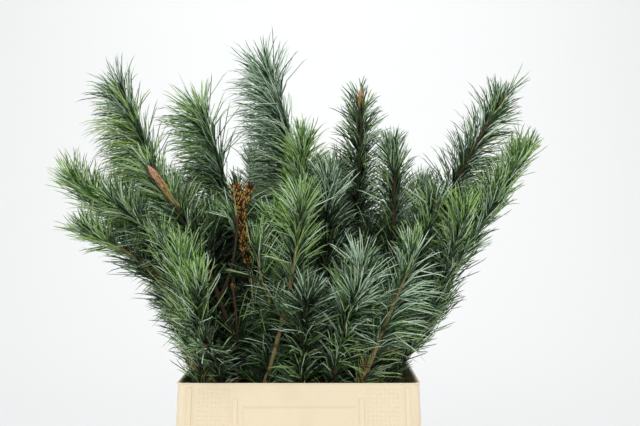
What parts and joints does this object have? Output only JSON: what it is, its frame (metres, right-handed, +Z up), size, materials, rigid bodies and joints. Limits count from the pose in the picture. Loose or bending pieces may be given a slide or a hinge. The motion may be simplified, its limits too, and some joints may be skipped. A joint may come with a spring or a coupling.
{
  "type": "cut japanese white pine branches in a bucket",
  "caption": "Cut branches of Japanese white pine with blue-green needles, standing in a tall cream plastic flower bucket with a loose collar.",
  "frame": {"origin": "centre of the bucket's flat underside", "axes": "+Z up, +X along the long side of the bucket, -Y towards the front"},
  "size_m": [0.8668, 0.5846, 0.9545],
  "materials": {
    "bucket": "satin",
    "collar": "satin",
    "bark": "rough",
    "needles": "satin"
  },
  "bodies": {
    "root": {"bucket": "bucket", "collar": "collar", "needles_back_left": "needles", "needles_back_low_left": "needles", "needles_back_low_right": "needles", "needles_back_mid_left": "needles", "needles_back_mid_right": "needles", "needles_back_right": "needles", "needles_brown_twig": "needles", "needles_bud_top": "needles", "needles_centre": "needles", "needles_centre_high": "needles", "needles_front_corner": "needles", "needles_front_left": "needles", "needles_front_mid": "needles", "needles_front_right": "needles", "needles_front_spray": "needles", "needles_left_bud": "needles", "needles_left_high": "needles", "needles_left_low": "needles", "needles_left_mid": "needles", "needles_left_out": "needles", "needles_mid_right": "needles", "needles_right_bud": "needles", "needles_right_high": "needles", "needles_right_inner": "needles", "needles_right_low": "needles", "needles_rosette": "needles", "needles_tall": "needles", "needles_upper_left": "needles", "stem_back_left": "bark", "stem_back_low_left": "bark", "stem_back_low_right": "bark", "stem_back_mid_left": "bark", "stem_back_mid_right": "bark", "stem_back_right": "bark", "stem_brown_twig": "bark", "stem_bud_top": "bark", "stem_centre": "bark", "stem_centre_high": "bark", "stem_front_corner": "bark", "stem_front_left": "bark", "stem_front_mid": "bark", "stem_front_right": "bark", "stem_front_spray": "bark", "stem_left_bud": "bark", "stem_left_high": "bark", "stem_left_low": "bark", "stem_left_mid": "bark", "stem_left_out": "bark", "stem_mid_right": "bark", "stem_right_bud": "bark", "stem_right_high": "bark", "stem_right_inner": "bark", "stem_right_low": "bark", "stem_rosette": "bark", "stem_tall": "bark", "stem_upper_left": "bark"}
  },
  "joints": []
}
